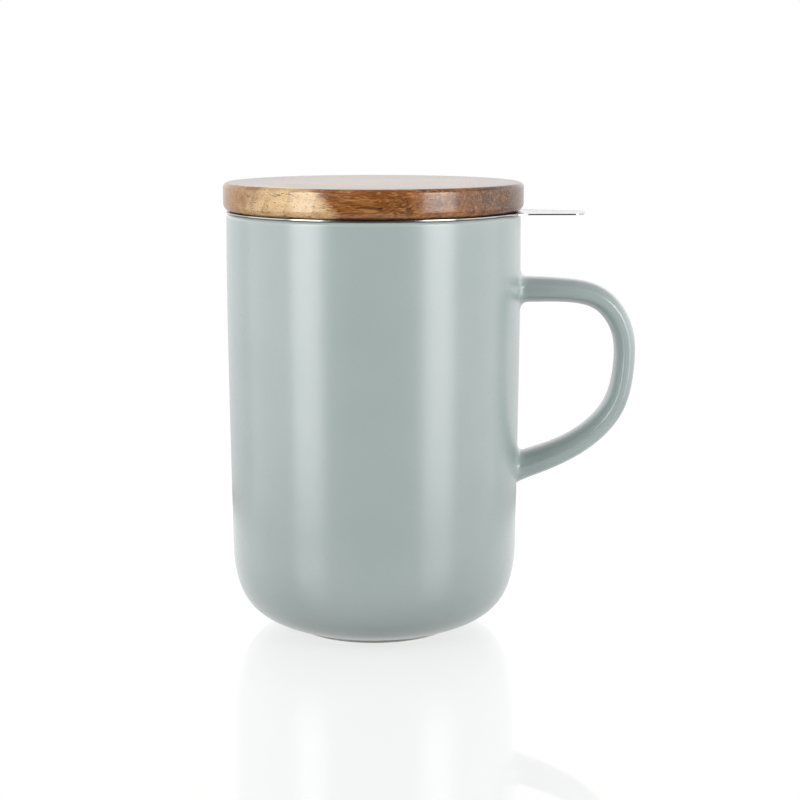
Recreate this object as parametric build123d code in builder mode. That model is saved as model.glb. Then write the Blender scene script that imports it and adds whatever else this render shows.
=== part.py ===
from build123d import *
from math import radians, tan
import os

os.makedirs("parts", exist_ok=True)

# Lidded tea mug with a lift-out infuser, in millimetres.
# The mug's axis is Z, its foot stands on Z = 0 and its handle points along +X.

# --- Driving dimensions: mug
mug_height = 125.3  # foot to rim
rim_radius = 43.6
belly_taper = 0.5  # how much narrower the wall is where the base curve runs into it
belly_height = 27.5
wall_bow = 0.7  # outward pull of the wall below the rim
wall = 4.2
rim_round = 1.2
foot_radius = 25.1
foot_height = 0.9
foot_land = 3.2
foot_recess = 1.6
foot_round = 0.3
base_thickness = 6.0
base_slope = 14.7  # degrees, how steeply the base leaves the foot ring
base_pull = (0.69, 0.72)  # how full the base curve is, as shares of its run and rise
bowl_pull = (0.68, 0.80)  # the same for the inside

# --- Driving dimensions: handle
handle_below_rim = 22.9  # centre line of the upper root below the rim
# Centre line: distance out of the wall and drop below the upper root.
handle_line = [
    (13.4, 0.3),
    (24.0, 2.9),
    (30.8, 12.0),
    (31.6, 23.6),
    (28.9, 35.0),
    (22.0, 43.5),
    (12.1, 49.6),
]
handle_drop = 53.9  # centre line of the lower root below the upper one
lower_root_slope = 0.38
ridge_share = 0.35  # the section's widest line, as a share of its thickness from the outer face
upper_root = (7.7, 15.6)  # height and width where the arm leaves its flare
lower_root = (9.0, 15.6)
# Sections between the flares: share of the arm's length, thickness and width.
arm_sections = [
    (0.12, 7.3, 14.2),
    (0.26, 6.9, 13.2),
    (0.40, 6.3, 13.0),
    (0.55, 6.4, 13.0),
    (0.70, 7.2, 13.4),
    (0.86, 8.0, 14.4),
]
root_flare = 2.3
# Flare: distance out of the wall and growth of the section all round, as shares of root_flare.
flare_steps = [(-1.2, 1.1), (-0.5, 1.0), (0.0, 0.72), (0.4, 0.25), (1.0, 0.0)]

# --- Driving dimensions: infuser
rim_sheet = 0.65  # flange, ear and collar
infuser_gap = 1.2  # collar to the inside of the wall
bend_radius = 1.0
collar_depth = 12.0
basket_depth = 78.0  # rim of the mug to the underside of the basket
sleeve_sheet = 0.4
pan_sheet = 0.5
pan_height = 6.0
pan_corner = 3.0
ear_angle = -7.0  # degrees about the mug's axis, from the handle
ear_length = 18.2  # out of the flange
ear_root_width = 20.6
ear_tip_width = 17.2
ear_corner = 4.6
ear_root_blend = 3.5
sleeve_hole = 2.2
sleeve_rows = 9
sleeve_columns = 24
punch_length = 2.0  # of the cutters that pierce the sleeve
floor_hole = 2.0
floor_pitch = 5.2
floor_rings = 6
floor_step = 6  # holes that each ring has more than the one inside it

# --- Driving dimensions: lid
lid_overhang = 0.9  # lid beyond the rim
lid_thickness = 8.35
lid_top_round = 1.5
lid_bottom_round = 2.35
spigot_height = 7.0
spigot_gap = 1.6  # spigot to the inside of the collar
spigot_round = 1.0
groove_height = 3.2
groove_depth = 2.2
groove_drop = 1.8  # lid's underside to the groove
groove_gap = 0.1  # floor of the groove to the seal
seal_base = 1.6  # radial thickness of the seal behind its lips
seal_gap = 0.3  # seal's lips to the inside of the collar
lip_thickness = 0.9
lip_places = (0.25, 0.75)  # shares of the groove's height
lip_rounding = 0.45  # share of the lip's thickness

# --- Sizes that follow
belly_radius = rim_radius - belly_taper
handle_top = mug_height - handle_below_rim
handle_bottom = handle_top - handle_drop
ear_reach = rim_radius + ear_length
lid_radius = rim_radius + lid_overhang
collar_radius = rim_radius - wall - infuser_gap
collar_inside = collar_radius - rim_sheet
collar_bottom = mug_height - collar_depth
flange_top = mug_height + rim_sheet
basket_bottom = mug_height - basket_depth
pan_top = basket_bottom + pan_height
lid_top = flange_top + lid_thickness
spigot_radius = collar_inside - spigot_gap
groove_radius = spigot_radius - groove_depth
groove_top = flange_top - groove_drop

# --- Outside of the mug: base curve and wall, shared by the body and the handle's roots
# The section lies on the side away from the handle, so no seam runs through the roots.
turning = Plane(origin=(0, 0, 0), x_dir=(-1, 0, 0), z_dir=(0, 1, 0))
base_run = belly_radius - foot_radius
base_rise = belly_height - foot_height
base_out = base_pull[0] * base_run
wall_rise = mug_height - belly_height
with BuildSketch(turning) as outline:
    with BuildLine():
        Polyline((0, mug_height), (0, 0), (foot_radius, 0), (foot_radius, foot_height))
        Bezier(
            (foot_radius, foot_height),
            (foot_radius + base_out, foot_height + base_out * tan(radians(base_slope))),
            (belly_radius, belly_height - base_pull[1] * base_rise),
            (belly_radius, belly_height),
        )
        Bezier(
            (belly_radius, belly_height),
            (belly_radius + wall_bow / 3, belly_height + wall_rise / 3),
            (rim_radius + wall_bow * 2 / 3, mug_height - wall_rise / 3),
            (rim_radius, mug_height),
        )
        Line((rim_radius, mug_height), (0, mug_height))
    make_face()

with BuildPart() as envelope:
    add(outline.sketch)
    revolve(axis=Axis.Z)

# --- Mug body: a cup turned from one section, with a foot ring and a rounded rim
floor_radius = foot_radius - foot_land
inside_radius = belly_radius - wall
bowl_run = inside_radius - floor_radius
bowl_rise = belly_height - base_thickness
with BuildPart() as mug_body:
    with BuildSketch(turning) as cup:
        add(outline.sketch_local)
        with BuildLine():
            Polyline((0, mug_height), (0, base_thickness), (floor_radius, base_thickness))
            Bezier(
                (floor_radius, base_thickness),
                (floor_radius + bowl_pull[0] * bowl_run, base_thickness),
                (inside_radius, belly_height - bowl_pull[1] * bowl_rise),
                (inside_radius, belly_height),
            )
            Bezier(
                (inside_radius, belly_height),
                (inside_radius + wall_bow / 3, belly_height + wall_rise / 3),
                (rim_radius - wall + wall_bow * 2 / 3, mug_height - wall_rise / 3),
                (rim_radius - wall, mug_height),
            )
            Line((rim_radius - wall, mug_height), (0, mug_height))
        make_face(mode=Mode.SUBTRACT)
        Rectangle(floor_radius, foot_recess, align=Align.MIN, mode=Mode.SUBTRACT)
    revolve(axis=Axis.Z)
    fillet(mug_body.edges().filter_by(GeomType.CIRCLE).group_by(Axis.Z)[-1], rim_round)
    fillet(mug_body.edges().filter_by(GeomType.CIRCLE).group_by(Axis.Z)[0], foot_round)

mug_body.part.label = "mug_body"
export_step(mug_body.part, "parts/mug_body.step")

# --- Handle: an egg-shaped section along one loop, flared where it meets the wall
with BuildLine(Plane.XZ) as loop:
    Spline(
        (rim_radius, handle_top),
        *[(rim_radius + out, handle_top - drop) for out, drop in handle_line],
        (rim_radius, handle_bottom),
        tangents=[(1, 0), (-1, -lower_root_slope)],
    )
arm = loop.edge()


def arm_section(plane, thickness, width):
    """A face across the arm: two half ellipses that meet at the ridge, the flatter one outwards."""
    outer_half = ridge_share * thickness
    inner_half = thickness - outer_half
    ridge = thickness / 2 - outer_half
    with BuildSketch(plane) as section:
        with BuildLine():
            EllipticalCenterArc((0, ridge), width / 2, outer_half, 0, arc_size=180)
            EllipticalCenterArc((0, ridge), width / 2, inner_half, 180, arc_size=180)
        make_face()
    return section.sketch


def flared_root(height, slope, facing, root):
    """Upright sections from inside the wall out to the end of the flare."""
    thickness, width = root
    sections = []
    for out, grow in flare_steps:
        centre = (rim_radius + out * root_flare, 0, height + slope * out * root_flare)
        plane = Plane(centre, x_dir=(0, 1, 0), z_dir=(facing, 0, 0))
        growth = 2 * grow * root_flare
        sections.append(arm_section(plane, thickness + growth, width + growth))
    return sections


sections = flared_root(handle_top, 0, 1, upper_root)
for share, thickness, width in arm_sections:
    plane = Plane(arm @ share, x_dir=(0, 1, 0), z_dir=arm % share)
    sections.append(arm_section(plane, thickness, width))
sections.extend(reversed(flared_root(handle_bottom, lower_root_slope, -1, lower_root)))
with BuildPart() as mug_handle:
    loft(sections)
    add(envelope.part, mode=Mode.SUBTRACT)

mug_handle.part.label = "mug_handle"
export_step(mug_handle.part, "parts/mug_handle.step")

# --- Infuser rim: flange and collar drawn from one sheet, with an ear over the handle
with BuildPart() as infuser_rim:
    with BuildSketch(turning):
        with BuildLine():
            FilletPolyline(
                (collar_radius, collar_bottom),
                (collar_radius, mug_height),
                (rim_radius, mug_height),
                radius=bend_radius,
            )
            offset(amount=rim_sheet, side=Side.LEFT)
        make_face()
    revolve(axis=Axis.Z)
    with BuildSketch(Plane.XY.offset(mug_height).rotated((0, 0, ear_angle))) as ear:
        Circle(rim_radius)
        with BuildLine():
            Polyline(
                (collar_radius, -ear_root_width / 2),
                (ear_reach, -ear_tip_width / 2),
                (ear_reach, ear_tip_width / 2),
                (collar_radius, ear_root_width / 2),
                close=True,
            )
        make_face()
        fillet(ear.vertices().group_by(Axis.X)[-1], ear_corner)
        fillet(ear.vertices().group_by(Axis.X)[0], ear_root_blend)
        Circle(rim_radius - bend_radius, mode=Mode.SUBTRACT)
    extrude(amount=rim_sheet)

infuser_rim.part.label = "infuser_rim"
export_step(infuser_rim.part, "parts/infuser_rim.step")

# --- Strainer wall: a sleeve of equal rings, each with one row of holes half a step on
row_height = (collar_bottom - pan_top) / sleeve_rows
half_step = 360 / sleeve_columns / 2
with BuildPart() as sleeve_ring:
    with BuildSketch(Plane.XY.offset(pan_top)):
        Circle(collar_radius)
        Circle(collar_radius - sleeve_sheet, mode=Mode.SUBTRACT)
    extrude(amount=row_height)
    with Locations((0, 0, pan_top + row_height / 2)):
        with PolarLocations(collar_radius, sleeve_columns):
            Cylinder(sleeve_hole / 2, punch_length, rotation=(0, 90, 0), mode=Mode.SUBTRACT)

with BuildPart() as strainer_wall:
    for row in range(sleeve_rows):
        turn = row % 2 * half_step
        add(sleeve_ring.part.moved(Location((0, 0, row * row_height), (0, 0, turn))))

strainer_wall.part.label = "strainer_wall"
export_step(strainer_wall.part, "parts/strainer_wall.step")

# --- Strainer base: a pressed pan under the sleeve, its floor pierced in rings
with BuildPart() as strainer_base:
    with BuildSketch(turning):
        with BuildLine():
            FilletPolyline(
                (0, basket_bottom),
                (collar_radius, basket_bottom),
                (collar_radius, pan_top),
                radius=pan_corner,
            )
            offset(amount=pan_sheet, side=Side.LEFT)
        make_face()
    revolve(axis=Axis.Z)
    with BuildSketch(Plane.XY.offset(basket_bottom)):
        Circle(floor_hole / 2)
        for ring in range(1, floor_rings + 1):
            with PolarLocations(ring * floor_pitch, floor_step * ring):
                Circle(floor_hole / 2)
    extrude(amount=pan_sheet, mode=Mode.SUBTRACT)

strainer_base.part.label = "strainer_base"
export_step(strainer_base.part, "parts/strainer_base.step")

# --- Lid: a turned disc with a step that drops into the infuser, grooved for the seal
with BuildPart() as lid_disc:
    with BuildSketch(turning):
        with BuildLine():
            Polyline(
                (0, lid_top),
                (lid_radius, lid_top),
                (lid_radius, flange_top),
                (spigot_radius, flange_top),
                (spigot_radius, groove_top),
                (groove_radius, groove_top),
                (groove_radius, groove_top - groove_height),
                (spigot_radius, groove_top - groove_height),
                (spigot_radius, flange_top - spigot_height),
                (0, flange_top - spigot_height),
                close=True,
            )
        make_face()
    revolve(axis=Axis.Z)
    circles = lid_disc.edges().filter_by(GeomType.CIRCLE).sort_by(Axis.Z)
    fillet(circles[-1], lid_top_round)
    fillet(circles[0], spigot_round)
    underside = lid_disc.edges().filter_by(GeomType.CIRCLE).filter_by_position(Axis.Z, flange_top, flange_top)
    fillet(underside.sort_by(SortBy.RADIUS)[-1], lid_bottom_round)

lid_disc.part.label = "lid_disc"
export_step(lid_disc.part, "parts/lid_disc.step")

# --- Seal: a silicone ring in the groove, with two lips towards the collar
seal_inside = groove_radius + groove_gap
lip_reach = collar_inside - seal_gap
with BuildPart() as lid_seal:
    with BuildSketch(turning):
        with Locations((seal_inside, groove_top - groove_height)):
            Rectangle(seal_base, groove_height, align=Align.MIN)
        for share in lip_places:
            with Locations((seal_inside, groove_top - share * groove_height)):
                Rectangle(lip_reach - seal_inside, lip_thickness, align=(Align.MIN, Align.CENTER))
    revolve(axis=Axis.Z)
    lips = lid_seal.edges().filter_by(GeomType.CIRCLE).sort_by(SortBy.RADIUS)[-4:]
    fillet(lips, lip_rounding * lip_thickness)

lid_seal.part.label = "lid_seal"
export_step(lid_seal.part, "parts/lid_seal.step")
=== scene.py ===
from math import cos, pi, radians, sin, tan

import bmesh
import bpy
import numpy as np
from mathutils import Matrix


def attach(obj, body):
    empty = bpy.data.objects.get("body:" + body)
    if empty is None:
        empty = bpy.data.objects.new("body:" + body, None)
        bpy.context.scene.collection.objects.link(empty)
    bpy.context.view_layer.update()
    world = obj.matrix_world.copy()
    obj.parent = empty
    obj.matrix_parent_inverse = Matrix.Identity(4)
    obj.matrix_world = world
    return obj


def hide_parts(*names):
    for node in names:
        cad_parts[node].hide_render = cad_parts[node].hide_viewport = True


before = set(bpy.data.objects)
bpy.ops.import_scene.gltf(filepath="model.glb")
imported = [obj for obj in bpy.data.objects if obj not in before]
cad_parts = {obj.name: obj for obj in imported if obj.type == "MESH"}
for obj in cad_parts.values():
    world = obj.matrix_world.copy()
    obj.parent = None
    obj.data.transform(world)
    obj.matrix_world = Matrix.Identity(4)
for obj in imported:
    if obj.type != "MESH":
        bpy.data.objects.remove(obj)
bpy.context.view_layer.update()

# A stoneware mug with its steel infuser and its acacia lid, each piece drawn over its own solid.
mm = 0.001                       # sizes are in millimetres unless a comment says otherwise
mergeDistance = 0.002 * mm
seamGap = 0.01                   # between the last and the first point of a closed section
noiseLow, noiseHigh = 0.3, 0.7   # nearly all of a noise lies between these


def bezier(corners, count):
    # A Bezier curve of any degree: the mean of neighbours, weighted by t, until one point is left.
    t = np.linspace(0, 1, count)[:, None, None]
    points = np.asarray(corners, float)[None]
    while points.shape[1] > 1:
        points = (1 - t) * points[:, :-1] + t * points[:, 1:]
    return points[:, 0]


def roundedLine(corners, steps=8):
    # A line through (x, y, radius) corners; each corner becomes the arc that touches both its legs.
    points = [np.array([corners[0][:2]], float)]
    for before, (x, y, radius), after in zip(corners, corners[1:], corners[2:]):
        legs = np.array([before[:2], after[:2]], float) - (x, y)
        legs /= np.linalg.norm(legs, axis=1)[:, None]
        half = np.arccos(legs[0] @ legs[1]) / 2
        centre = legs.sum(0) / np.linalg.norm(legs.sum(0)) * radius / sin(half)
        start, end = legs * radius / tan(half) - centre
        turn = np.linspace(0, 1, steps)[:, None] * (pi - 2 * half)
        arc = (np.sin(pi - 2 * half - turn) * start + np.sin(turn) * end) / sin(2 * half)
        points.append(arc + centre + (x, y))
    points.append(np.array([corners[-1][:2]], float))
    return np.vstack(points)


def smoothThrough(knots, values, startSlope, endSlope, at):
    # Cubic pieces through the knots. Their slopes solve one linear system, which makes the
    # curvature run on from piece to piece; the slopes at both ends are given.
    gaps = np.diff(knots)
    rates = (np.diff(values, axis=0).T / gaps).T
    inner = np.arange(1, len(knots) - 1)
    system = np.eye(len(knots))
    system[inner, inner - 1] = gaps[1:]
    system[inner, inner] = 2 * (gaps[:-1] + gaps[1:])
    system[inner, inner + 1] = gaps[:-1]
    right = np.zeros_like(np.asarray(values, float))
    right[0], right[-1] = startSlope, endSlope
    right[1:-1] = 3 * (rates[:-1].T * gaps[1:] + rates[1:].T * gaps[:-1]).T
    slopes = np.linalg.solve(system, right)
    piece = np.clip(np.searchsorted(knots, at, side="right") - 1, 0, len(gaps) - 1)
    gap = gaps[piece]
    t = (at - knots[piece]) / gap
    weights = (2 * t**3 - 3 * t**2 + 1, (t**3 - 2 * t**2 + t) * gap,
               3 * t**2 - 2 * t**3, (t**3 - t**2) * gap)
    parts = (values[piece], slopes[piece], values[piece + 1], slopes[piece + 1])
    return sum((part.T * weight).T for part, weight in zip(parts, weights))


def lathe(profile, columns):
    # Each profile point (r, z) carried round the axis in equal steps, to (r cos a, r sin a, z).
    angles = np.arange(columns) * 2 * pi / columns
    r, z = profile.T[:, :, None]
    return np.stack([r * np.cos(angles), r * np.sin(angles), z + 0 * angles], axis=-1)


def gridFaces(rows, columns, closed=False):
    # Every cell of the grid as one quad. The columns always run back to the first one,
    # and the rows do too when closed.
    i = np.arange(rows if closed else rows - 1)[:, None]
    j = np.arange(columns)[None]
    nextRow, nextColumn = (i + 1) % rows, (j + 1) % columns
    corners = (i * columns + j, i * columns + nextColumn,
               nextRow * columns + nextColumn, nextRow * columns + j)
    return np.stack(corners, axis=-1).reshape(-1, 4)


def addPiece(name, points, faces, material, body, node):
    # One mesh from points in millimetres, its seams and poles merged and its faces turned outwards.
    mesh = bpy.data.meshes.new(name)
    mesh.from_pydata((points.reshape(-1, 3) * mm).tolist(), [], faces.tolist())
    shell = bmesh.new()
    shell.from_mesh(mesh)
    bmesh.ops.remove_doubles(shell, verts=shell.verts, dist=mergeDistance)
    bmesh.ops.recalc_face_normals(shell, faces=shell.faces)
    shell.to_mesh(mesh)
    shell.free()
    mesh.shade_smooth()
    mesh.materials.append(material)
    piece = bpy.data.objects.new(name, mesh)
    bpy.context.scene.collection.objects.link(piece)
    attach(piece, body)
    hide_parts(node)
    print(name, len(mesh.polygons), "faces")


def linearColour(code):
    # An sRGB hex value as linear red, green, blue and a full alpha.
    shares = np.array([int(code[i:i + 2], 16) for i in (1, 3, 5)]) / 255
    linear = np.where(shares <= 0.04045, shares / 12.92, ((shares + 0.055) / 1.055) ** 2.4)
    return (*linear.tolist(), 1.0)


def addNode(tree, kind, inputs=None, **settings):
    # One node with its settings; each input is a value, or the socket that feeds it.
    node = tree.nodes.new(kind)
    for name, value in settings.items():
        setattr(node, name, value)
    for key, value in (inputs or {}).items():
        if isinstance(value, bpy.types.NodeSocket):
            tree.links.new(value, node.inputs[key])
        else:
            node.inputs[key].default_value = value
    return node


def startMaterial(name):
    # A material with one Principled surface, and the place on the piece in millimetres.
    material = bpy.data.materials.new(name)
    material.use_nodes = True
    tree = material.node_tree
    tree.nodes.clear()
    surface = tree.nodes.new("ShaderNodeBsdfPrincipled")
    addNode(tree, "ShaderNodeOutputMaterial", {"Surface": surface.outputs["BSDF"]})
    place = addNode(tree, "ShaderNodeTexCoord").outputs["Object"]
    scaled = addNode(tree, "ShaderNodeVectorMath", {0: place, "Scale": 1 / mm}, operation="SCALE")
    return material, tree, surface, scaled.outputs[0]


glaze = {
    "colour": "#adbab8",
    "cloudColour": "#a9b7b5",
    "thinColour": "#bcc4bd",
    "clay": "#c8bba6",
    "thins": (123.9, 125.3),  # heights between which it runs thin over the rim
    "ends": (0.6, 0.45),      # heights between which it stops above the foot
    "endWaver": 0.3,          # and how far a slow noise lowers them
    "cloud": 22,              # width of the faint clouds
    "clouding": (0.4, 0.65),  # noise between which they set in
    "wave": 9,                # width of the slow dips that the glaze dries to
    "grain": 0.45,            # width of the satin grain
    "roughness": (0.27, 0.33),
    "clayRoughness": 0.85,
    "coatRoughness": 0.24,
}


def satinGlaze():
    # Matt-satin stoneware glaze over a slip-cast body, dipped and fired: an even duck-egg colour
    # with faint clouds, soft broad highlights, and bare clay where the foot was wiped.
    material, tree, surface, place = startMaterial("satinStonewareGlaze")
    clouds = addNode(tree, "ShaderNodeTexNoise", {"Vector": place, "Scale": 1 / glaze["cloud"], "Detail": 3})
    cloudAmount = addNode(tree, "ShaderNodeMapRange", {
        "Value": clouds.outputs["Fac"], 1: glaze["clouding"][0], 2: glaze["clouding"][1]})
    body = addNode(tree, "ShaderNodeMix", {
        "Factor": cloudAmount.outputs[0],
        6: linearColour(glaze["colour"]), 7: linearColour(glaze["cloudColour"])}, data_type="RGBA")
    axes = addNode(tree, "ShaderNodeSeparateXYZ", {0: place})
    # the glaze runs thin over the rim and lets a little of the clay through
    rimShare = addNode(tree, "ShaderNodeMapRange", {
        "Value": axes.outputs["Z"], 1: glaze["thins"][0], 2: glaze["thins"][1]})
    rim = addNode(tree, "ShaderNodeMix", {
        "Factor": rimShare.outputs[0], 6: body.outputs[2], 7: linearColour(glaze["thinColour"])},
        data_type="RGBA")
    # the foot ring stands on bare clay
    footNoise = addNode(tree, "ShaderNodeTexNoise", {"Vector": place, "Scale": 0.4})
    footLine = addNode(tree, "ShaderNodeMath", {
        0: footNoise.outputs["Fac"], 1: glaze["endWaver"], 2: axes.outputs["Z"]}, operation="MULTIPLY_ADD")
    bare = addNode(tree, "ShaderNodeMapRange", {
        "Value": footLine.outputs[0], 1: glaze["ends"][0], 2: glaze["ends"][1]})
    colour = addNode(tree, "ShaderNodeMix", {
        "Factor": bare.outputs[0], 6: rim.outputs[2], 7: linearColour(glaze["clay"])}, data_type="RGBA")
    tree.links.new(colour.outputs[2], surface.inputs["Base Color"])
    waves = addNode(tree, "ShaderNodeTexNoise", {"Vector": place, "Scale": 1 / glaze["wave"], "Detail": 1})
    grain = addNode(tree, "ShaderNodeTexNoise", {"Vector": place, "Scale": 1 / glaze["grain"], "Detail": 2})
    roughness = addNode(tree, "ShaderNodeMapRange", {
        "Value": grain.outputs["Fac"], 1: noiseLow, 2: noiseHigh,
        3: glaze["roughness"][0], 4: glaze["roughness"][1]})
    dry = addNode(tree, "ShaderNodeMix", {
        "Factor": bare.outputs[0], 2: roughness.outputs[0], 3: glaze["clayRoughness"]})
    tree.links.new(dry.outputs[0], surface.inputs["Roughness"])
    slow = addNode(tree, "ShaderNodeBump", {
        "Height": waves.outputs["Fac"], "Strength": 0.12, "Distance": 0.2 * mm})
    fine = addNode(tree, "ShaderNodeBump", {
        "Height": grain.outputs["Fac"], "Strength": 0.03, "Distance": 0.01 * mm,
        "Normal": slow.outputs[0]})
    tree.links.new(fine.outputs[0], surface.inputs["Normal"])
    surface.inputs["IOR"].default_value = 1.5
    surface.inputs["Coat Weight"].default_value = 1.0
    surface.inputs["Coat IOR"].default_value = 1.5
    surface.inputs["Coat Roughness"].default_value = glaze["coatRoughness"]
    return material


steel = {
    "colour": "#cbccce",
    "shade": "#bfc0c3",
    "line": 0.12,    # width of the brushing lines
    "lineLength": 14,
    "radius": 40,    # about that of every steel piece, to turn an angle into a length
    "roughness": (0.10, 0.23),
}


def brushedSteel():
    # 18/8 stainless sheet, drawn and brushed round the axis: pale neutral metal whose fine
    # lines run round the cup and stretch every reflection across them.
    material, tree, surface, place = startMaterial("brushedStainless")
    axes = addNode(tree, "ShaderNodeSeparateXYZ", {0: place})
    flat = addNode(tree, "ShaderNodeCombineXYZ", {0: axes.outputs["X"], 1: axes.outputs["Y"]})
    radius = addNode(tree, "ShaderNodeVectorMath", {0: flat.outputs[0]}, operation="LENGTH")
    turn = addNode(tree, "ShaderNodeMath", {0: axes.outputs["Y"], 1: axes.outputs["X"]}, operation="ARCTAN2")
    across = addNode(tree, "ShaderNodeMath", {0: radius.outputs["Value"], 1: 1 / steel["line"]},
                     operation="MULTIPLY")
    along = addNode(tree, "ShaderNodeMath", {
        0: turn.outputs[0], 1: steel["radius"] / steel["lineLength"]}, operation="MULTIPLY")
    up = addNode(tree, "ShaderNodeMath", {0: axes.outputs["Z"], 1: 1 / steel["line"]}, operation="MULTIPLY")
    brushed = addNode(tree, "ShaderNodeCombineXYZ", {
        0: across.outputs[0], 1: along.outputs[0], 2: up.outputs[0]})
    lines = addNode(tree, "ShaderNodeTexNoise", {"Vector": brushed.outputs[0], "Scale": 1, "Detail": 3})
    colour = addNode(tree, "ShaderNodeMix", {
        "Factor": lines.outputs["Fac"],
        6: linearColour(steel["colour"]), 7: linearColour(steel["shade"])}, data_type="RGBA")
    tree.links.new(colour.outputs[2], surface.inputs["Base Color"])
    roughness = addNode(tree, "ShaderNodeMapRange", {
        "Value": lines.outputs["Fac"], 1: noiseLow, 2: noiseHigh,
        3: steel["roughness"][0], 4: steel["roughness"][1]})
    tree.links.new(roughness.outputs[0], surface.inputs["Roughness"])
    bump = addNode(tree, "ShaderNodeBump", {
        "Height": lines.outputs["Fac"], "Strength": 0.25, "Distance": 0.01 * mm})
    tree.links.new(bump.outputs[0], surface.inputs["Normal"])
    surface.inputs["Metallic"].default_value = 1
    return material


wood = {
    "grainAngle": 86,         # degrees between the grain and the line from front to back
    "heart": "#a5652f",
    "heartShade": "#582c0a",
    "sap": "#f2cf97",
    "sapShade": "#a5743a",
    "sapEdge": (-37.8, 134.3, 0.59),  # how far out the sapwood starts, at this height, and its slope
    "sapTurn": 36.7,          # degrees that the sapwood's corner is turned from the handle
    "sapBlend": 1,            # half the width of its soft edge
    "pore": "#3a1f0f",
    "cellGlint": "#e9bf88",     # painted glint: pale colour of the light flecks on the open cell ends
    "ring": 3.4,              # width of a year's growth
    "lean": 0.22,             # how far the rings lean for each millimetre up
    "bend": (7, 0, 5),        # how far slow waves move them across, along and up
    "bendScale": (0.06, 0.014, 0.03),    # and how many waves there are to a millimetre
    "late": (2.5, 0.35),      # sharpness and depth of a year's dark late line
    "streakScale": (0.16, 0.02, 0.22),   # dark streaks to a millimetre across, along and up
    "streak": (0.32, 0.68, 0.6),         # noise between which they darken, and their depth
    "ends": (26, 43),         # distances along the grain between which painted shade darkens the lid's left and right sides
    "pores": (7.0, 0.26),     # length and width of an open pore
    "poreOpens": (0.66, 0.74),           # noise between which a pore opens
    "poreDepth": 0.85,
    "poreRelief": -1.6,       # its height, where that of a fleck is 1
    "poreRow": (2.1, 0.13),   # distance between rows of pores, and how much they crowd there
    "fibre": (6.0, 0.2),      # length and width
    "fibreShade": (0.8, 1.2),
    "fleck": (0.5, 0.30),     # width and depth of the flecks of the cut cells: the light ones painted glints, the dark ones of pore colour
    "fleckScale": (1, 0.12, 0.7),        # low where they are drawn out: along, and a little up
    "roughness": (0.18, 0.28),
    "gloss": 0.7,
    "oil": (0.35, 0.14),      # share and roughness of the dried oil on top
    "oilTint": (1, 0.95, 0.88, 1),
}


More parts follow.
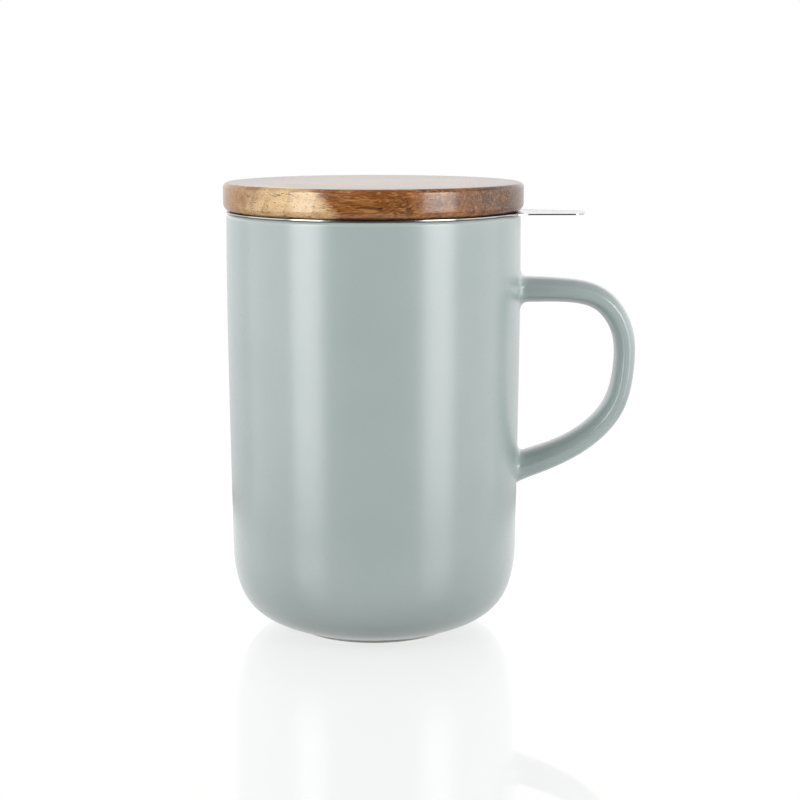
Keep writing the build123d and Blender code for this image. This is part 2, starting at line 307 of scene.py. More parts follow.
def oiledAcacia():
    # Acacia board, turned, sanded and oiled: red-brown heartwood with a corner of golden sapwood,
    # growth rings, rows of short dark open pores, flecked end grain with painted glints, a low sheen,
    # and painted shade towards the lid's left and right sides.
    material, tree, surface, place = startMaterial("oiledAcacia")
    grain = addNode(tree, "ShaderNodeMapping", {
        "Vector": place, "Rotation": (0, 0, -radians(wood["grainAngle"]))}).outputs[0]

    # slow waves bend the growth rings a little
    warp = addNode(tree, "ShaderNodeMapping", {"Vector": grain, "Scale": wood["bendScale"]})
    bends = addNode(tree, "ShaderNodeTexNoise", {"Vector": warp.outputs[0], "Scale": 1, "Detail": 2})
    centred = addNode(tree, "ShaderNodeVectorMath", {0: bends.outputs["Color"], 1: (0.5, 0.5, 0.5)},
                      operation="SUBTRACT")
    bent = addNode(tree, "ShaderNodeVectorMath", {
        0: centred.outputs[0], 1: wood["bend"], 2: grain}, operation="MULTIPLY_ADD").outputs[0]
    bentAxes = addNode(tree, "ShaderNodeSeparateXYZ", {0: bent})

    # growth rings stand nearly upright; each year runs from pale early wood to a dark late line
    leaning = addNode(tree, "ShaderNodeMath", {
        0: bentAxes.outputs["Z"], 1: wood["lean"], 2: bentAxes.outputs["X"]}, operation="MULTIPLY_ADD")
    years = addNode(tree, "ShaderNodeMath", {
        0: leaning.outputs[0], 1: 1 / wood["ring"]}, operation="MULTIPLY")
    year = addNode(tree, "ShaderNodeMath", {0: years.outputs[0]}, operation="FRACT")
    lateSharpness, lateDepth = wood["late"]
    late = addNode(tree, "ShaderNodeMath", {0: year.outputs[0], 1: lateSharpness}, operation="POWER")
    streakPlace = addNode(tree, "ShaderNodeMapping", {"Vector": bent, "Scale": wood["streakScale"]})
    streaks = addNode(tree, "ShaderNodeTexNoise", {"Vector": streakPlace.outputs[0], "Scale": 1, "Detail": 5})
    pale, dark, streakDepth = wood["streak"]
    streak = addNode(tree, "ShaderNodeMapRange", {"Value": streaks.outputs["Fac"], 1: pale, 2: dark})
    shade = addNode(tree, "ShaderNodeMath", {0: late.outputs[0], 1: lateDepth}, operation="MULTIPLY")
    shade = addNode(tree, "ShaderNodeMath", {
        0: streak.outputs[0], 1: streakDepth, 2: shade.outputs[0]}, operation="MULTIPLY_ADD", use_clamp=True)
    # painted shade: darker towards both ends of the grain, which are the lid's left and right sides seen from
    # the front
    ends = addNode(tree, "ShaderNodeMath", {0: bentAxes.outputs["Y"]}, operation="ABSOLUTE")
    ends = addNode(tree, "ShaderNodeMapRange", {
        "Value": ends.outputs[0], 1: wood["ends"][0], 2: wood["ends"][1]})
    shade = addNode(tree, "ShaderNodeMath", {
        0: ends.outputs[0], 1: shade.outputs[0]}, operation="ADD", use_clamp=True)
    heart = addNode(tree, "ShaderNodeMix", {
        "Factor": shade.outputs[0], 6: linearColour(wood["heart"]), 7: linearColour(wood["heartShade"])},
        data_type="RGBA")
    sap = addNode(tree, "ShaderNodeMix", {
        "Factor": shade.outputs[0], 6: linearColour(wood["sap"]), 7: linearColour(wood["sapShade"])},
        data_type="RGBA")

    # the sapwood is the corner beyond a slanting plane
    out, height, slope = wood["sapEdge"]
    turn = radians(wood["sapTurn"])
    inwards = addNode(tree, "ShaderNodeVectorMath", {
        0: place, 1: (cos(turn), sin(turn), slope)}, operation="DOT_PRODUCT")
    edge = out + slope * height
    sapShare = addNode(tree, "ShaderNodeMapRange", {
        "Value": inwards.outputs["Value"], 1: edge + wood["sapBlend"], 2: edge - wood["sapBlend"]})
    tone = addNode(tree, "ShaderNodeMix", {
        "Factor": sapShare.outputs[0], 6: heart.outputs[2], 7: sap.outputs[2]}, data_type="RGBA")

    # fine fibres along the grain, and the flecks of the cut cells: the light ones are painted glints, the
    # dark ones take the pore colour
    fibreLength, fibreWidth = wood["fibre"]
    fibrePlace = addNode(tree, "ShaderNodeMapping", {
        "Vector": grain, "Scale": (1 / fibreWidth, 1 / fibreLength, 1 / fibreWidth)})
    fibres = addNode(tree, "ShaderNodeTexNoise", {"Vector": fibrePlace.outputs[0], "Scale": 1, "Detail": 2})
    fibreShade = addNode(tree, "ShaderNodeMapRange", {
        "Value": fibres.outputs["Fac"], 1: noiseLow, 2: noiseHigh,
        3: wood["fibreShade"][0], 4: wood["fibreShade"][1]})
    fibred = addNode(tree, "ShaderNodeVectorMath", {
        0: tone.outputs[2], "Scale": fibreShade.outputs[0]}, operation="SCALE")
    fleckWidth, fleckDepth = wood["fleck"]
    fleckPlace = addNode(tree, "ShaderNodeMapping", {"Vector": grain, "Scale": wood["fleckScale"]})
    flecks = addNode(tree, "ShaderNodeTexNoise", {
        "Vector": fleckPlace.outputs[0], "Scale": 1 / fleckWidth, "Detail": 1, "Distortion": 1.4})
    # painted glints: the light flecks are mixed towards a pale colour
    glintShare = addNode(tree, "ShaderNodeMapRange", {
        "Value": flecks.outputs["Fac"], 1: 0.5, 2: 0.7, 4: fleckDepth})
    dim = addNode(tree, "ShaderNodeMapRange", {
        "Value": flecks.outputs["Fac"], 1: 0.48, 2: 0.3, 4: fleckDepth})
    lit = addNode(tree, "ShaderNodeMix", {
        "Factor": glintShare.outputs[0], 6: fibred.outputs[0], 7: linearColour(wood["cellGlint"])},
        data_type="RGBA")
    dimmed = addNode(tree, "ShaderNodeMix", {
        "Factor": dim.outputs[0], 6: lit.outputs[2], 7: linearColour(wood["pore"])}, data_type="RGBA")

    # open pores: long along the grain, dots in the end grain, and closer together in rows
    poreLength, poreWidth = wood["pores"]
    porePlace = addNode(tree, "ShaderNodeMapping", {
        "Vector": bent, "Scale": (0.6 / poreWidth, 1 / poreLength, 1 / poreWidth)})
    poreNoise = addNode(tree, "ShaderNodeTexNoise", {
        "Vector": porePlace.outputs[0], "Scale": 0.8, "Detail": 1})
    rowGap, crowding = wood["poreRow"]
    rowPlace = addNode(tree, "ShaderNodeMapping", {"Vector": bent, "Scale": (0.1, 0.02, 1 / rowGap)})
    rows = addNode(tree, "ShaderNodeTexNoise", {"Vector": rowPlace.outputs[0], "Scale": 1, "Detail": 2})
    row = addNode(tree, "ShaderNodeMapRange", {"Value": rows.outputs["Fac"], 1: 0.5, 2: 0.68, 4: crowding})
    crowded = addNode(tree, "ShaderNodeMath", {
        0: poreNoise.outputs["Fac"], 1: row.outputs[0]}, operation="ADD")
    pores = addNode(tree, "ShaderNodeMapRange", {
        "Value": crowded.outputs[0], 1: wood["poreOpens"][0], 2: wood["poreOpens"][1],
        4: wood["poreDepth"]})
    colour = addNode(tree, "ShaderNodeMix", {
        "Factor": pores.outputs[0], 6: dimmed.outputs[2], 7: linearColour(wood["pore"])},
        data_type="RGBA")
    tree.links.new(colour.outputs[2], surface.inputs["Base Color"])

    roughness = addNode(tree, "ShaderNodeMapRange", {
        "Value": fibres.outputs["Fac"], 1: noiseLow, 2: noiseHigh,
        3: wood["roughness"][0], 4: wood["roughness"][1]})
    tree.links.new(roughness.outputs[0], surface.inputs["Roughness"])
    relief = addNode(tree, "ShaderNodeMath", {
        0: pores.outputs[0], 1: wood["poreRelief"], 2: flecks.outputs["Fac"]}, operation="MULTIPLY_ADD")
    bump = addNode(tree, "ShaderNodeBump", {
        "Height": relief.outputs[0], "Strength": 0.3, "Distance": 0.04 * mm})
    tree.links.new(bump.outputs[0], surface.inputs["Normal"])
    surface.inputs["IOR"].default_value = 1.5
    surface.inputs["Specular IOR Level"].default_value = wood["gloss"]
    surface.inputs["Coat Weight"].default_value = wood["oil"][0]
    surface.inputs["Coat IOR"].default_value = 1.5
    surface.inputs["Coat Tint"].default_value = wood["oilTint"]
    surface.inputs["Coat Roughness"].default_value = wood["oil"][1]
    return material


silicone = {
    "colour": "#e3e1db",
    "dust": "#d5d2cb",
    "roughness": 0.42,
    "speck": 1.5,    # width of the dust's patches
    "depth": 1.2,    # how far light soaks in
}


def milkySilicone():
    # Food-grade silicone, moulded and uncoloured: milky, softly lit from inside, slightly dusty.
    material, tree, surface, place = startMaterial("milkySilicone")
    specks = addNode(tree, "ShaderNodeTexNoise", {
        "Vector": place, "Scale": 1 / silicone["speck"], "Detail": 4})
    colour = addNode(tree, "ShaderNodeMix", {
        "Factor": specks.outputs["Fac"],
        6: linearColour(silicone["colour"]), 7: linearColour(silicone["dust"])}, data_type="RGBA")
    tree.links.new(colour.outputs[2], surface.inputs["Base Color"])
    bump = addNode(tree, "ShaderNodeBump", {
        "Height": specks.outputs["Fac"], "Strength": 0.2, "Distance": 0.02 * mm})
    tree.links.new(bump.outputs[0], surface.inputs["Normal"])
    surface.inputs["Roughness"].default_value = silicone["roughness"]
    surface.inputs["IOR"].default_value = 1.41
    surface.inputs["Subsurface Weight"].default_value = 0.35
    surface.inputs["Subsurface Radius"].default_value = (1, 0.9, 0.8)
    surface.inputs["Subsurface Scale"].default_value = silicone["depth"] * mm
    return material


glazeMaterial = satinGlaze()
steelMaterial = brushedSteel()
woodMaterial = oiledAcacia()
siliconeMaterial = milkySilicone()
print("materials made")


mug = {
    "height": 125.3,
    "rim": 43.6,
    "belly": (43.1, 27.5),     # radius, and the height where the wall turns into the base
    "bow": 0.7,
    "wall": 4.2,
    "rimRound": 1.2,
    "foot": 25.1,
    "footHeight": 0.9,
    "footInside": 21.9,
    "footRound": 0.5,
    "footHollow": 0.25,        # rounding where the foot meets the base
    "recess": 1.6,
    "recessRound": 0.7,
    "floor": 6.0,
    "baseSlope": 14.7,         # degrees that the base rises from the foot
    "basePull": (0.69, 0.72),  # shares of the way that the curve's handles reach, out and down
    "bowlPull": (0.68, 0.80),
    "columns": 256,
}


def wallCurve(inset, count):
    # The wall from the belly to the rim: one cubic that bows out a little, moved in by the inset.
    radius, low = mug["belly"]
    rise = (mug["height"] - low) / 3
    return bezier([(radius, low), (radius + mug["bow"] / 3, low + rise),
                   (mug["rim"] + mug["bow"] * 2 / 3, mug["height"] - rise),
                   (mug["rim"], mug["height"])], count) - (inset, 0)


def mugBody():
    # A cup turned from one closed line: foot ring, base curve, wall, rounded rim, wall and bowl.
    radius, low = mug["belly"]
    run, rise = radius - mug["foot"], low - mug["footHeight"]
    out = mug["basePull"][0] * run
    base = bezier([(mug["foot"], mug["footHeight"]),
                   (mug["foot"] + out, mug["footHeight"] + out * tan(radians(mug["baseSlope"]))),
                   (radius, low - mug["basePull"][1] * rise), (radius, low)], 48)
    inside = radius - mug["wall"]
    bowl = bezier([(inside, low), (inside, low - mug["bowlPull"][1] * (low - mug["floor"])),
                   (mug["footInside"] + mug["bowlPull"][0] * (inside - mug["footInside"]), mug["floor"]),
                   (mug["footInside"], mug["floor"])], 40)
    foot = roundedLine([(0, mug["recess"], 0), (mug["footInside"], mug["recess"], mug["recessRound"]),
                        (mug["footInside"], 0, mug["footRound"]), (mug["foot"], 0, mug["footRound"]),
                        (mug["foot"], mug["footHeight"], mug["footHollow"]), (*base[2], 0)])
    outer, inner = wallCurve(0, 60), wallCurve(mug["wall"], 60)
    top, edge = mug["height"], mug["rim"]
    rim = roundedLine([(*outer[-3], 0), (edge, top, mug["rimRound"]),
                       (edge - mug["wall"], top, mug["rimRound"]), (*inner[-3], 0)], 12)
    profile = np.vstack([foot, base[3:-1], outer[:-3], rim, inner[-4::-1], bowl[1:], [(0, mug["floor"])]])
    addPiece("mugCup", lathe(profile, mug["columns"]), gridFaces(len(profile), mug["columns"]),
             glazeMaterial, "mug", "mug_body")


handle = {
    "top": 102.4,        # height of the centre line where it leaves the wall
    "drop": 54.2,        # how much lower it comes back
    # what the centre line passes through, as distances out from the wall and down from the top
    "line": [(13.4, 0.3), (24.0, 2.9), (30.8, 12.0), (31.6, 23.6), (28.9, 35.0), (22.0, 43.5), (12.1, 49.6)],
    "lowerSlope": 0.38,  # how far it runs down for each millimetre in, where it comes back
    # share of the way along, thickness and width
    "sections": [(0, 7.6, 15.6), (0.12, 7.1, 14.2), (0.26, 6.8, 13.2), (0.40, 6.3, 13.0),
                 (0.55, 6.2, 13.0), (0.70, 6.6, 13.4), (0.86, 7.2, 14.4), (1, 7.9, 15.2)],
    # the section's corners, as shares of half the width and of the thickness from the outer face
    "ridge": (0.96, 0.33),
    "widest": (1.0, 0.60),
    "crown": [(0, 0), (0.55, 0), (0.80, 0.1089)],
    "flank": [(0.88, 0.82), (0.66, 0.96), (0.33, 1), (0, 1)],
    "soften": 5,         # times that the corners are softened
    # how far from the wall each root starts, and how far it spreads over the wall
    "upperRoot": {"reach": 2.6, "above": 3.0, "below": 3.0, "beside": 1.1},
    "lowerRoot": {"reach": 4.0, "above": 4.0, "below": 0.7, "beside": 1.1},
    "sunk": 0.98,        # share of the wall's radius where the closing row lies
    "samples": 1200,     # points at which the centre line is measured
    "rows": 150,
    "blendRows": 14,
}


def handleOutline():
    # Half a section, as shares of half the width and of the thickness from the outer face: a crown,
    # a flat facet between two soft ridges, and a flank that turns under. Then its mirror image,
    # and each point moved to the mean of its neighbours to soften the ridges.
    ridge, widest = handle["ridge"], handle["widest"]
    crown = bezier([*handle["crown"], ridge], 26)
    flank = bezier([widest, *handle["flank"]], 40)
    half = np.vstack([crown, np.linspace(ridge, widest, 14)[1:-1], flank])
    loop = np.vstack([half, half[-2:0:-1] * (-1, 1)])
    for _ in range(handle["soften"]):
        loop = (np.roll(loop, 1, axis=0) + 2 * loop + np.roll(loop, -1, axis=0)) / 4
    return loop


def onWall(y, z):
    # The point of the mug's outer wall at this sideways place and height.
    curve = wallCurve(0, 200)
    radius = np.interp(z, curve[:, 1], curve[:, 0])
    return np.stack([np.sqrt(radius**2 - y**2), y, z], axis=-1)


def handleRoot(edge, direction, root):
    # Each point of the arm's last section runs straight on to the wall, found by Newton's steps, and
    # is then pulled out along it, by its own amount above, below and beside; a quadratic curve from
    # the section over the meeting point to the pulled-out point makes the fillet. A sunk row and
    # one point close it in the wall.
    curve = wallCurve(0, 200)
    meeting = edge.copy()
    for _ in range(12):
        radius = np.hypot(meeting[:, 0], meeting[:, 1])
        gap = radius - np.interp(meeting[:, 2], curve[:, 1], curve[:, 0])
        rate = (meeting[:, :2] @ direction[:2]) / radius
        meeting = meeting - (gap / rate)[:, None] * direction
    ahead = np.roll(meeting, -1, axis=0) - np.roll(meeting, 1, axis=0)
    normal = np.stack([ahead[:, 2], -ahead[:, 1]], axis=-1)
    normal /= np.linalg.norm(normal, axis=1)[:, None]
    outwards = meeting[:, 1:] - meeting[:, 1:].mean(0)
    normal *= np.sign((normal * outwards).sum(1))[:, None]
    upright = np.where(normal[:, 1] > 0, root["above"], root["below"])
    pull = upright + (root["beside"] - upright) * normal[:, 0] ** 2
    foot = onWall(meeting[:, 1] + pull * normal[:, 0], meeting[:, 2] + pull * normal[:, 1])
    t = np.linspace(0, 1, handle["blendRows"])[1:, None, None]
    blend = (1 - t) ** 2 * edge + 2 * t * (1 - t) * meeting + t**2 * foot
    sunk = foot * (handle["sunk"], handle["sunk"], 1)
    middle = np.broadcast_to(sunk.mean(0), sunk.shape)
    return np.concatenate([blend, sunk[None], middle[None]])


def mugHandle():
    # The section carried along a curve through the centre points, standing square to it; its
    # thickness and width run smoothly from one given section to the next.
    rim, top = mug["rim"], handle["top"]
    points = np.array([(0, 0), *handle["line"], (0, handle["drop"])]) * (1, -1) + (rim, top)
    knots = np.concatenate([[0], np.cumsum(np.linalg.norm(np.diff(points, axis=0), axis=1))])
    slope = np.array([-1, -handle["lowerSlope"]]) / np.hypot(1, handle["lowerSlope"])
    samples = np.linspace(0, knots[-1], handle["samples"])
    fine = smoothThrough(knots, points, (1, 0), slope, samples)
    lengths = np.concatenate([[0], np.cumsum(np.linalg.norm(np.diff(fine, axis=0), axis=1))])
    stations = np.linspace(handle["upperRoot"]["reach"], lengths[-1] - handle["lowerRoot"]["reach"],
                           handle["rows"])
    centre = np.stack([np.interp(stations, lengths, fine[:, i]) for i in (0, 1)], axis=-1)
    tangents = np.gradient(fine, axis=0)
    tangents /= np.linalg.norm(tangents, axis=1)[:, None]
    ahead = np.stack([np.interp(stations, lengths, tangents[:, i]) for i in (0, 1)], axis=-1)
    sections = np.array(handle["sections"])
    size = smoothThrough(sections[:, 0], sections[:, 1:], 0, 0, stations / lengths[-1])
    thickness, width = size[:, 0, None], size[:, 1, None]
    across, depth = handleOutline().T
    lift = thickness * (0.5 - depth)
    points = np.stack([centre[:, :1] - ahead[:, 1:] * lift, across * width / 2,
                       centre[:, 1:] + ahead[:, :1] * lift], axis=-1)
    upper = handleRoot(points[0], np.array([-ahead[0, 0], 0, -ahead[0, 1]]), handle["upperRoot"])
    lower = handleRoot(points[-1], np.array([ahead[-1, 0], 0, ahead[-1, 1]]), handle["lowerRoot"])
    points = np.concatenate([upper[::-1], points, lower])
    addPiece("mugHandle", points, gridFaces(*points.shape[:2]),
             glazeMaterial, "mug", "mug_handle")


flange = {
    "sheet": 0.38,
    "top": 125.86,
    "radius": 43.6,
    "collar": 38.2,
    "collarDepth": 12.0,
    "bend": 1.0,
    "edgeRound": 0.05,
    "flat": (4, 1.0),    # the section's flat part, and how much of it keeps its width at the edge
    "earAngle": -8,      # degrees that the ear is turned from the handle, towards the front
    "earLength": 18.8,
    "earRoot": 22.4,     # width at the collar's radius
    "earTip": 15.0,
    "earCorner": 3.4,
    "earBlend": 12.0,    # radius of the hollow arc between ear and circle
}


def flangeOutline():
    # The ear's straight side runs from a corner arc at its tip to a hollow arc that also touches
    # the flange's circle; the hollow arc's centre lies at a blend's distance from both.
    radius, blend = flange["radius"], flange["earBlend"]
    near = np.array([flange["collar"], flange["earRoot"] / 2])
    far = np.array([radius + flange["earLength"], flange["earTip"] / 2])
    along = (far - near) / np.linalg.norm(far - near)
    normal = np.array([-along[1], along[0]])
    off = normal @ near + blend
    centre = normal * off + along * np.sqrt((radius + blend) ** 2 - off**2)
    onCircle = centre * radius / (radius + blend)
    onSide = centre - normal * blend
    start = np.arctan2(*(onCircle - centre)[::-1])
    end = np.arctan2(*(onSide - centre)[::-1])
    sweep = (end - start + pi) % (2 * pi) - pi
    turn = start + np.linspace(0, 1, 12) * sweep
    hollow = centre + blend * np.stack([np.cos(turn), np.sin(turn)], axis=-1)
    corner = roundedLine([(*onSide, 0), (*far, flange["earCorner"]), (far[0], 0, 0)], 16)
    side = np.linspace(onSide, corner[1], 14)[1:-1]
    tip = np.linspace(corner[-2], (far[0], 0), 8)[1:]
    upper = np.vstack([hollow, side, corner[1:-1], tip])
    opening = np.arctan2(onCircle[1], onCircle[0])
    rest = np.linspace(opening, 2 * pi - opening, 220)[1:-1]
    circle = radius * np.stack([np.cos(rest), np.sin(rest)], axis=-1)
    loop = np.vstack([upper, upper[-2::-1] * (1, -1), circle[::-1]])
    turn = radians(flange["earAngle"])
    return loop @ np.array([[cos(turn), sin(turn)], [-sin(turn), cos(turn)]])


def infuserRim():
    # One sheet: collar, bend and flange. Every point of the flange's edge looks straight in to
    # the bend, and the sheet's section is drawn along that line, closed round its rounded edges.
    edge = flangeOutline()
    inwards = edge / np.linalg.norm(edge, axis=1)[:, None]
    ahead = np.roll(edge, -1, axis=0) - np.roll(edge, 1, axis=0)
    normal = np.stack([ahead[:, 1], -ahead[:, 0]], axis=-1)
    normal /= np.linalg.norm(normal, axis=1)[:, None]
    normal *= np.sign((normal * inwards).sum(1))[:, None]
    sheet, bend, rounding = flange["sheet"], flange["bend"], flange["edgeRound"]
    low, base = mug["height"] - flange["collarDepth"], flange["top"] - sheet
    flat = flange["collar"] + bend
    reach, keep = flange["flat"]
    section = roundedLine([
        (flange["collar"] - sheet / 2, low, 0), (flange["collar"], low, rounding),
        (flange["collar"], base, bend),
        (flat + reach, base, rounding), (flat + reach, base + sheet, rounding),
        (flange["collar"] - sheet, base + sheet, bend + sheet),
        (flange["collar"] - sheet, low, rounding), (flange["collar"] - sheet / 2 - seamGap, low, 0)], 8)
    # beyond the bend the section's radius stands for the way out: all but the last millimetre
    # stretches from the bend to that far from the edge, and the last one follows the edge
    beyond = np.clip(section[:, 0] - flat, 0, reach)
    inset = np.minimum(reach - beyond, keep) * (beyond > 0)
    share = np.clip(beyond / (reach - keep), 0, 1)[:, None, None]
    inner = np.minimum(section[:, 0], flat)[:, None, None] * inwards
    outer = edge - inset[:, None, None] * normal
    place = inner * (1 - share) + outer * share
    height = np.broadcast_to(section[:, 1, None, None], (*place.shape[:2], 1))
    points = np.concatenate([place, height], axis=-1)
    addPiece("infuserFlange", points, gridFaces(*points.shape[:2], closed=True),
             steelMaterial, "infuser", "infuser_rim")


strainer = {
    "radius": 38.2,
    "sheet": 0.4,
    "low": 53.3,
    "high": 113.3,
    "columns": 96,
    "rows": 25,
    "hole": 1.2,
    "margin": 1.8,     # plain band above and below the holes
    "edgeRound": 0.1,
}


def strainerSleeve():
    # A rolled sheet of equal cells, every other row turned by half a cell. A cell is the ring of
    # eight quads between its border and its round hole, outside and inside, and the hole's wall.
    columns, rows = strainer["columns"], strainer["rows"]
    outer, inner = strainer["radius"], strainer["radius"] - strainer["sheet"]
    low, high = strainer["low"] + strainer["margin"], strainer["high"] - strainer["margin"]
    cellTurn, cellRise = 2 * pi / columns, (high - low) / rows
    border = np.array([(1, 0), (1, 1), (0, 1), (-1, 1), (-1, 0), (-1, -1), (0, -1), (1, -1)])
    eighths = np.arange(8) * pi / 4
    hole = np.stack([np.cos(eighths) / outer, np.sin(eighths)], axis=-1) * strainer["hole"] / 2
    cell = np.vstack([border * (cellTurn / 2, cellRise / 2), hole])
    i, j = np.mgrid[0:rows, 0:columns]
    turn = ((j + (i % 2) / 2) * cellTurn)[..., None] + cell[:, 0]
    height = (low + (i + 0.5) * cellRise)[..., None] + cell[:, 1]
    cells = np.concatenate([np.stack([r * np.cos(turn), r * np.sin(turn), height], axis=-1)
                            for r in (outer, inner)], axis=2)
    # the points of a cell: eight of the border and eight of the hole outside, then as many inside
    a = np.arange(8)
    b = (a + 1) % 8
    pattern = np.vstack([np.stack([a, b, b + 8, a + 8], axis=-1),
                         np.stack([a + 16, b + 16, b + 24, a + 24], axis=-1),
                         np.stack([a + 8, b + 8, b + 24, a + 24], axis=-1)])
    faces = (np.arange(rows * columns)[:, None, None] * cells.shape[2] + pattern).reshape(-1, 4)
    points, meshes = [cells.reshape(-1, 3)], [faces]
    count = cells.size // 3
    rounding = strainer["edgeRound"]
    for start, end in ((low, strainer["low"]), (high, strainer["high"])):
        profile = roundedLine([
            (outer, start, 0), (outer, end, rounding), (inner, end, rounding), (inner, start, 0)], 4)
        band = lathe(profile, 2 * columns)
        points.append(band.reshape(-1, 3))
        meshes.append(gridFaces(*band.shape[:2]) + count)
        count += band.size // 3
    addPiece("strainerSleeve", np.vstack(points), np.vstack(meshes),
             steelMaterial, "infuser", "strainer_wall")


lid = {
    "radius": 44.5,
    "low": 125.95,
    "high": 134.3,
    "topRound": 1.5,
    "lowRound": 2.35,
    "step": 35.95,
    "stepHeight": 7.0,
    "stepRound": 1.0,
    "groove": 33.75,
    "grooveTop": 1.8,
    "grooveHeight": 3.2,
    "grooveRound": (0.25, 0.2),  # at its mouth and at its bottom
    "hollow": 0.4,               # rounding between the disc and its step
    "columns": 256,
}

seal = {
    "inside": 33.85,
    "back": 1.6,
    "reach": 37.25,
    "lip": 0.9,
    "lips": (0.25, 0.75),  # shares of the groove's height, down from its top
    "lipRound": 0.4,
    "backRound": 0.2,
    "endRound": 0.15,      # where a lip runs into the back's upper or lower end
    "columns": 192,
}


def lidDisc():
    # A turned disc, rounded above and below, with a grooved step underneath.
    low, high = lid["low"], lid["high"]
    grooveTop = low - lid["grooveTop"]
    grooveLow = grooveTop - lid["grooveHeight"]
    mouth, bottom = lid["grooveRound"]
    profile = roundedLine([
        (0, high, 0), (lid["radius"], high, lid["topRound"]), (lid["radius"], low, lid["lowRound"]),
        (lid["step"], low, lid["hollow"]), (lid["step"], grooveTop, mouth),
        (lid["groove"], grooveTop, bottom), (lid["groove"], grooveLow, bottom),
        (lid["step"], grooveLow, mouth), (lid["step"], low - lid["stepHeight"], lid["stepRound"]),
        (0, low - lid["stepHeight"], 0)], 12)
    addPiece("lidDisc", lathe(profile, lid["columns"]), gridFaces(len(profile), lid["columns"]),
             woodMaterial, "lid", "lid_disc")


def lidSeal():
    # A ring with two lips, turned from one closed section.
    top = lid["low"] - lid["grooveTop"]
    low = top - lid["grooveHeight"]
    back, reach, half = seal["inside"] + seal["back"], seal["reach"], seal["lip"] / 2
    upper, lower = (top - share * lid["grooveHeight"] for share in seal["lips"])
    soft, square, end = seal["lipRound"], seal["backRound"], seal["endRound"]
    profile = roundedLine([
        (seal["inside"], (top + low) / 2, 0), (seal["inside"], low, square), (back, low, square),
        (back, lower - half, end), (reach, lower - half, soft), (reach, lower + half, soft),
        (back, lower + half, square), (back, upper - half, square), (reach, upper - half, soft),
        (reach, upper + half, soft), (back, upper + half, end), (back, top, square),
        (seal["inside"], top, square), (seal["inside"], (top + low) / 2 + seamGap, 0)], 6)
    addPiece("lidSeal", lathe(profile, seal["columns"]),
             gridFaces(len(profile), seal["columns"], closed=True),
             siliconeMaterial, "lid", "lid_seal")


mugBody()
mugHandle()
infuserRim()
strainerSleeve()
lidDisc()
lidSeal()
# the pan stays the solid that it is, and takes the steel finish
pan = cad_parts["strainer_base"]
for panSlot in pan.material_slots:
    panSlot.link = "OBJECT"
    panSlot.material = steelMaterial
print("pieces made")


plate = {
    "radius": 200,
    "sides": 128,
    "colour": "#9b9b9a",
    "roughness": 0.035,
    "lift": 0.68,         # light of its own that the camera sees
    "mirrored": 0.62,     # and that metal, glaze and wood mirror
    "fade": (140, 195),   # distances from the middle between which it turns plain white
    "farMirrored": 0.4,   # and what they mirror of that white
}


def whiteAcrylic():
    # White acrylic sheet, polished: it mirrors the object softly, glows a little so that it comes
    # out white, and turns plain white towards its edge.
    material, tree, surface, place = startMaterial("whiteAcrylicFloor")
    surface.inputs["Base Color"].default_value = linearColour(plate["colour"])
    surface.inputs["Roughness"].default_value = plate["roughness"]
    surface.inputs["IOR"].default_value = 1.6
    rays = addNode(tree, "ShaderNodeLightPath").outputs
    seen = addNode(tree, "ShaderNodeMath", {0: rays["Is Camera Ray"], 1: rays["Is Transmission Ray"]},
                   operation="ADD", use_clamp=True)
    lift = addNode(tree, "ShaderNodeMath", {0: seen.outputs[0], 1: plate["lift"]}, operation="MULTIPLY")
    lift = addNode(tree, "ShaderNodeMath", {
        0: rays["Is Glossy Ray"], 1: plate["mirrored"], 2: lift.outputs[0]}, operation="MULTIPLY_ADD")
    glow = addNode(tree, "ShaderNodeEmission", {"Color": (1, 1, 1, 1), "Strength": lift.outputs[0]})
    near = addNode(tree, "ShaderNodeAddShader", {0: surface.outputs[0], 1: glow.outputs[0]})
    farWhite = addNode(tree, "ShaderNodeMath", {
        0: seen.outputs[0], 1: 1 - plate["farMirrored"], 2: plate["farMirrored"]}, operation="MULTIPLY_ADD")
    far = addNode(tree, "ShaderNodeEmission", {"Color": (1, 1, 1, 1), "Strength": farWhite.outputs[0]})
    reach = addNode(tree, "ShaderNodeVectorMath", {0: place}, operation="LENGTH")
    fade = addNode(tree, "ShaderNodeMapRange", {
        "Value": reach.outputs["Value"], 1: plate["fade"][0], 2: plate["fade"][1]},
        interpolation_type="SMOOTHSTEP")
    whole = addNode(tree, "ShaderNodeMixShader", {0: fade.outputs[0], 1: near.outputs[0], 2: far.outputs[0]})
    output = next(node for node in tree.nodes if node.type == "OUTPUT_MATERIAL")
    tree.links.new(whole.outputs[0], output.inputs["Surface"])
    return material


def layFloor():
    # A round plate in the plane z = 0: one face with many sides.
    mesh = bpy.data.meshes.new("floor")
    edge = lathe(np.array([(plate["radius"], 0)]), plate["sides"])[0] * mm
    mesh.from_pydata(edge.tolist(), [], [list(range(plate["sides"]))])
    mesh.materials.append(whiteAcrylic())
    floor = bpy.data.objects.new("floor", mesh)
    bpy.context.scene.collection.objects.link(floor)


# A direction's Y runs from -1 in front to 1 behind, and its Z from -1 below to 1 overhead.
room = {
    "light": 0.58,               # light from all round
    "frontDim": 0.36,            # share of it that is left in front
    "front": (-0.6, -0.74),      # Y between which the front begins
    "mirrored": (0.6, 0.95),     # what metal, glaze and wood mirror, below and at the horizon
    "below": -0.35,              # Z where that begins to rise
    "side": (0.1, 0.7, 0.5),     # Y between which it rises to the whole from this share
    "backLight": 1.12,           # what they mirror of the lit backdrop
    "backdrop": (0.1, 0.5),      # Y between which that begins
    "backdropLow": (0, 0.08),    # and Z
    "frontShade": 0.02,          # what they mirror of the front
    "ceiling": (0.2, 0.6, 0.5),  # Z between which all light falls to this share
}


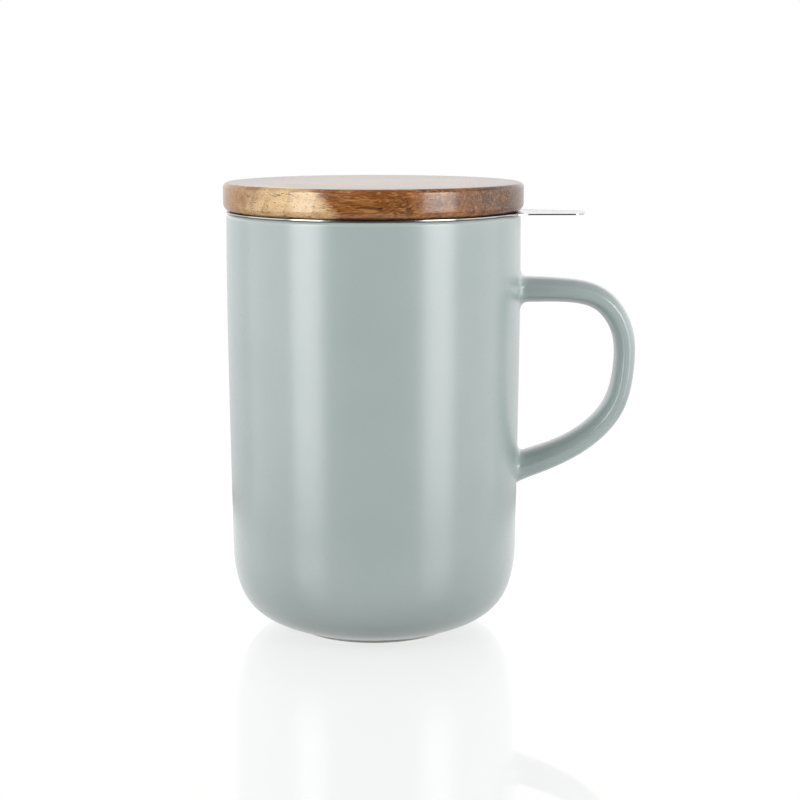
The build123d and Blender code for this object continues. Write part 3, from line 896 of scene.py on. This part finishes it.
def studioWorld():
    # Plain white to the camera. Metal, glaze and wood mirror a grey that rises from below to the
    # horizon, times a share that rises towards the back; over it lie a lit backdrop behind and
    # above the horizon, and a dark front. Everything else gets one even light, dimmed in front.
    # Both fall off overhead.
    world = bpy.data.worlds.new("studio")
    world.use_nodes = True
    sky = world.node_tree
    sky.nodes.clear()
    rays = addNode(sky, "ShaderNodeLightPath").outputs
    direction = addNode(sky, "ShaderNodeTexCoord").outputs["Generated"]
    axes = addNode(sky, "ShaderNodeSeparateXYZ", {0: direction}).outputs
    front = addNode(sky, "ShaderNodeMapRange", {
        "Value": axes["Y"], 1: room["front"][0], 2: room["front"][1]},
        interpolation_type="SMOOTHSTEP").outputs[0]
    below, level = room["mirrored"]
    sides = addNode(sky, "ShaderNodeMapRange", {
        "Value": axes["Z"], 1: room["below"], 2: 0, 3: below, 4: level})
    sideStart, sideEnd, sideShare = room["side"]
    turned = addNode(sky, "ShaderNodeMapRange", {
        "Value": axes["Y"], 1: sideStart, 2: sideEnd, 3: sideShare, 4: 1})
    sides = addNode(sky, "ShaderNodeMath", {0: sides.outputs[0], 1: turned.outputs[0]}, operation="MULTIPLY")
    raised = addNode(sky, "ShaderNodeMapRange", {
        "Value": axes["Z"], 1: room["backdropLow"][0], 2: room["backdropLow"][1]})
    behind = addNode(sky, "ShaderNodeMapRange", {
        "Value": axes["Y"], 1: room["backdrop"][0], 2: room["backdrop"][1]})
    backdrop = addNode(sky, "ShaderNodeMath", {
        0: raised.outputs[0], 1: behind.outputs[0]}, operation="MULTIPLY")
    around = addNode(sky, "ShaderNodeMix", {
        "Factor": backdrop.outputs[0], 2: sides.outputs[0], 3: room["backLight"]})
    mirrored = addNode(sky, "ShaderNodeMix", {"Factor": front, 2: around.outputs[0], 3: room["frontShade"]})
    spread = addNode(sky, "ShaderNodeMapRange", {
        "Value": front, 3: room["light"], 4: room["light"] * room["frontDim"]})
    lit = addNode(sky, "ShaderNodeMix", {
        "Factor": rays["Is Glossy Ray"], 2: spread.outputs[0], 3: mirrored.outputs[0]})
    ceilingStart, ceilingEnd, ceilingShare = room["ceiling"]
    overhead = addNode(sky, "ShaderNodeMapRange", {
        "Value": axes["Z"], 1: ceilingStart, 2: ceilingEnd, 3: 1, 4: ceilingShare})
    indirect = addNode(sky, "ShaderNodeMath", {
        0: lit.outputs[0], 1: overhead.outputs[0]}, operation="MULTIPLY")
    plain = addNode(sky, "ShaderNodeMath", {0: rays["Is Camera Ray"], 1: rays["Is Transmission Ray"]},
                    operation="ADD", use_clamp=True)
    strength = addNode(sky, "ShaderNodeMix", {"Factor": plain.outputs[0], 2: indirect.outputs[0], 3: 1.0})
    background = addNode(sky, "ShaderNodeBackground", {
        "Color": (1, 1, 1, 1), "Strength": strength.outputs[0]})
    addNode(sky, "ShaderNodeOutputWorld", {"Surface": background.outputs[0]})
    bpy.context.scene.world = world


# Lengths are in metres here.
softboxes = {
    "strip": {
        "sides": ((-51, 16.8), (51, 16.8)),  # left and right: degrees from the front, and power
        "distance": 1.25,
        "size": (0.56, 1.25),
        "low": -0.4,                         # height of the lower end, which is below the plate
        "fade": (0.27, 0.92),                # share of the light at the lower and the upper end
    },
    "panel": {
        "sides": ((-90, 3.2), (90, 2.6)),
        "distance": 1.4,
        "size": (1.0, 1.3),
        "low": -0.4,
        "fade": (1, 1),
    },
}


def addSoftbox(name, angle, power):
    # An upright softbox, the given angle round from the front, facing the object. Its light runs
    # evenly from the share at the lower end to that at the upper end. The camera doesn't see it.
    kind = softboxes[name]
    light = bpy.data.lights.new(name, "AREA")
    light.shape = "RECTANGLE"
    light.size, light.size_y = kind["size"]
    light.energy = power
    light.use_nodes = True
    tree = light.node_tree
    tree.nodes.clear()
    place = addNode(tree, "ShaderNodeNewGeometry").outputs["Parametric"]
    upwards = addNode(tree, "ShaderNodeSeparateXYZ", {0: place}).outputs["Y"]
    share = addNode(tree, "ShaderNodeMapRange", {"Value": upwards, 3: kind["fade"][0], 4: kind["fade"][1]})
    glow = addNode(tree, "ShaderNodeEmission", {"Strength": share.outputs[0]})
    addNode(tree, "ShaderNodeOutputLight", {"Surface": glow.outputs[0]})
    box = bpy.data.objects.new(name, light)
    bpy.context.scene.collection.objects.link(box)
    turn = radians(angle)
    box.location = (kind["distance"] * sin(turn), -kind["distance"] * cos(turn),
                    kind["size"][1] / 2 + kind["low"])
    box.rotation_euler = (pi / 2, 0, turn)
    box.visible_camera = False


view = {
    "lens": 79.56,
    "sensor": 36,
    "place": (0.007835, -0.5273, 0.16056),
    "tilt": 0.17267,     # radians down from level
}


def setCamera():
    # A camera in front of the object, which looks straight back and a little down.
    camera = bpy.data.objects.new("camera", bpy.data.cameras.new("camera"))
    camera.data.lens = view["lens"]
    camera.data.sensor_width = view["sensor"]
    camera.location = view["place"]
    camera.rotation_euler = (pi / 2 - view["tilt"], 0, 0)
    bpy.context.scene.collection.objects.link(camera)
    bpy.context.scene.camera = camera


layFloor()
studioWorld()
for side in (0, 1):
    for name, kind in softboxes.items():
        addSoftbox(name, *kind["sides"][side])
setCamera()
bpy.context.scene.view_settings.view_transform = "Standard"
print("studio made")
